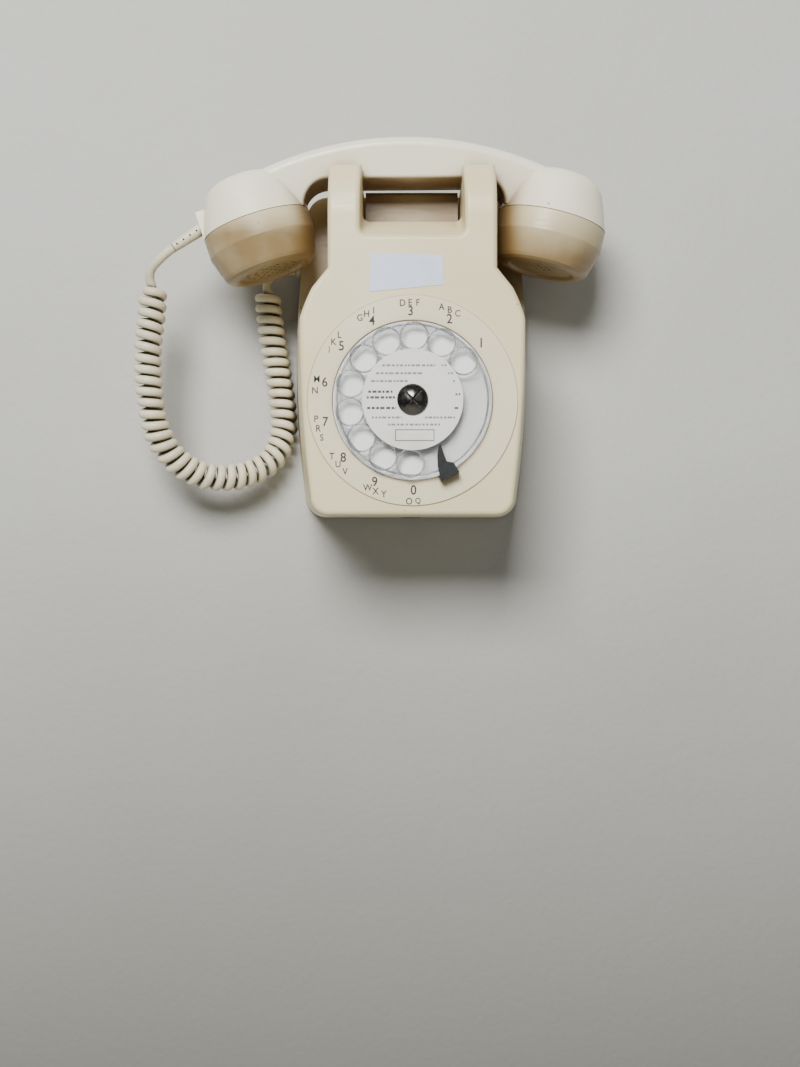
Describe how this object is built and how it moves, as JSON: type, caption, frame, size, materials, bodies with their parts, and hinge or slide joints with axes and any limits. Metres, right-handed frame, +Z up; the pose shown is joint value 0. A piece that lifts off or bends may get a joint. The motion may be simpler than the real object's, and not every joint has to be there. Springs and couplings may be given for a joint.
{
  "type": "wall telephone",
  "caption": "Wall-mounted telephone with a rotary dial, a level handset on two horns, a hook lever, a ringer and a curly handset cord.",
  "frame": {"origin": "centre of the four wall screw holes, on the back face that meets the wall", "axes": "+X to the right seen from the front, +Y into the wall, +Z up"},
  "size_m": [0.2553, 0.095, 0.2009],
  "materials": {
    "ivory_plastic": "satin moulded, aged ivory",
    "base_plastic": "plain moulded",
    "clear_plastic": "clear, polished",
    "card_paper": "smooth card",
    "label_paper": "plain paper",
    "dial_white": "white disc",
    "dark_metal": "dark nickel, domed",
    "stop_metal": "dark grey",
    "steel": "zinc plated",
    "brass": "turned",
    "gong_metal": "plated",
    "copper": "enamelled copper winding, brass stands in",
    "board": "phenolic board",
    "bakelite": "black moulded",
    "can_metal": "drawn can",
    "cord_plastic": "soft ivory cord",
    "grommet_rubber": "black rubber",
    "wire_plastic": "insulated wires"
  },
  "bodies": {
    "case": {"base_plate": "base_plastic", "board_screws": "steel", "capacitor": "can_metal", "case_cord_gland": "cord_plastic", "circuit_board": "board", "cord_coil": "cord_plastic", "cord_lead_case": "cord_plastic", "cord_lead_handset": "cord_plastic", "cover": "ivory_plastic", "cover_screws": "steel", "dial_backing": "dial_white", "dial_frame": "steel", "dial_nuts": "steel", "dial_rear_plate": "steel", "dial_screws": "steel", "finger_stop": "stop_metal", "gong_left": "gong_metal", "gong_right": "gong_metal", "gong_screws": "steel", "governor_cup": "brass", "hook_axle": "steel", "hook_bracket": "steel", "hook_contacts": "bakelite", "hook_spring": "steel", "impulse_contacts": "bakelite", "induction_coil": "copper", "line_inlet_grommet": "grommet_rubber", "name_label": "label_paper", "number_ring": "ivory_plastic", "return_spring": "steel", "ringer_coils": "copper", "ringer_frame": "steel", "spring_barrel": "steel", "terminal_screws": "steel", "terminal_strip": "bakelite"},
    "dial": {"finger_wheel": "clear_plastic", "dial_card": "card_paper", "dial_cap_screw": "dark_metal", "dial_shaft_gear": "brass"},
    "impulse": {"impulse_shaft": "brass"},
    "governor": {"governor_shaft": "brass"},
    "hook": {"hook_lever": "ivory_plastic"},
    "clapper": {"clapper": "steel"},
    "handset": {"handset_shell": "ivory_plastic", "mouthpiece_cap": "ivory_plastic", "earpiece_cap": "ivory_plastic", "microphone_capsule": "can_metal", "microphone_cup": "bakelite", "receiver_capsule": "can_metal", "handset_cord_gland": "cord_plastic", "handset_wires": "wire_plastic"}
  },
  "joints": [
    {"name": "handset_lift", "type": "slide", "parent": "case", "child": "handset", "axis": [0, 0, 1], "range_m": [0, 0.06]},
    {"name": "hook_turn", "type": "hinge", "parent": "case", "child": "hook", "pos_m": [0, -0.0084, 0.0775], "axis": [-1, 0, 0], "range_deg": [0, 6]},
    {"name": "dial_turn", "type": "hinge", "parent": "case", "child": "dial", "pos_m": [0, -0.085, -0.031], "axis": [0, 1, 0], "range_deg": [0, 325], "stiffness_Nm_per_rad": 0.01, "springref_deg": -57.3},
    {"name": "impulse_turn", "type": "hinge", "parent": "case", "child": "impulse", "pos_m": [-0.02706, -0.085, -0.04085], "axis": [0, 1, 0], "range_deg": [-1626, 1]},
    {"name": "governor_turn", "type": "hinge", "parent": "case", "child": "governor", "pos_m": [-0.02706, -0.085, -0.05335], "axis": [0, 1, 0], "range_deg": [-1, 6501]},
    {"name": "clapper_swing", "type": "hinge", "parent": "case", "child": "clapper", "pos_m": [0, -0.019, -0.025], "axis": [0, 1, 0], "range_deg": [-3.5, 3.5]}
  ],
  "couplings": [
    {"joint": "hook_turn", "follows": "handset_lift", "rad_per_m": 1.7436},
    {"joint": "impulse_turn", "follows": "dial_turn", "ratio": -5},
    {"joint": "governor_turn", "follows": "dial_turn", "ratio": 20}
  ]
}
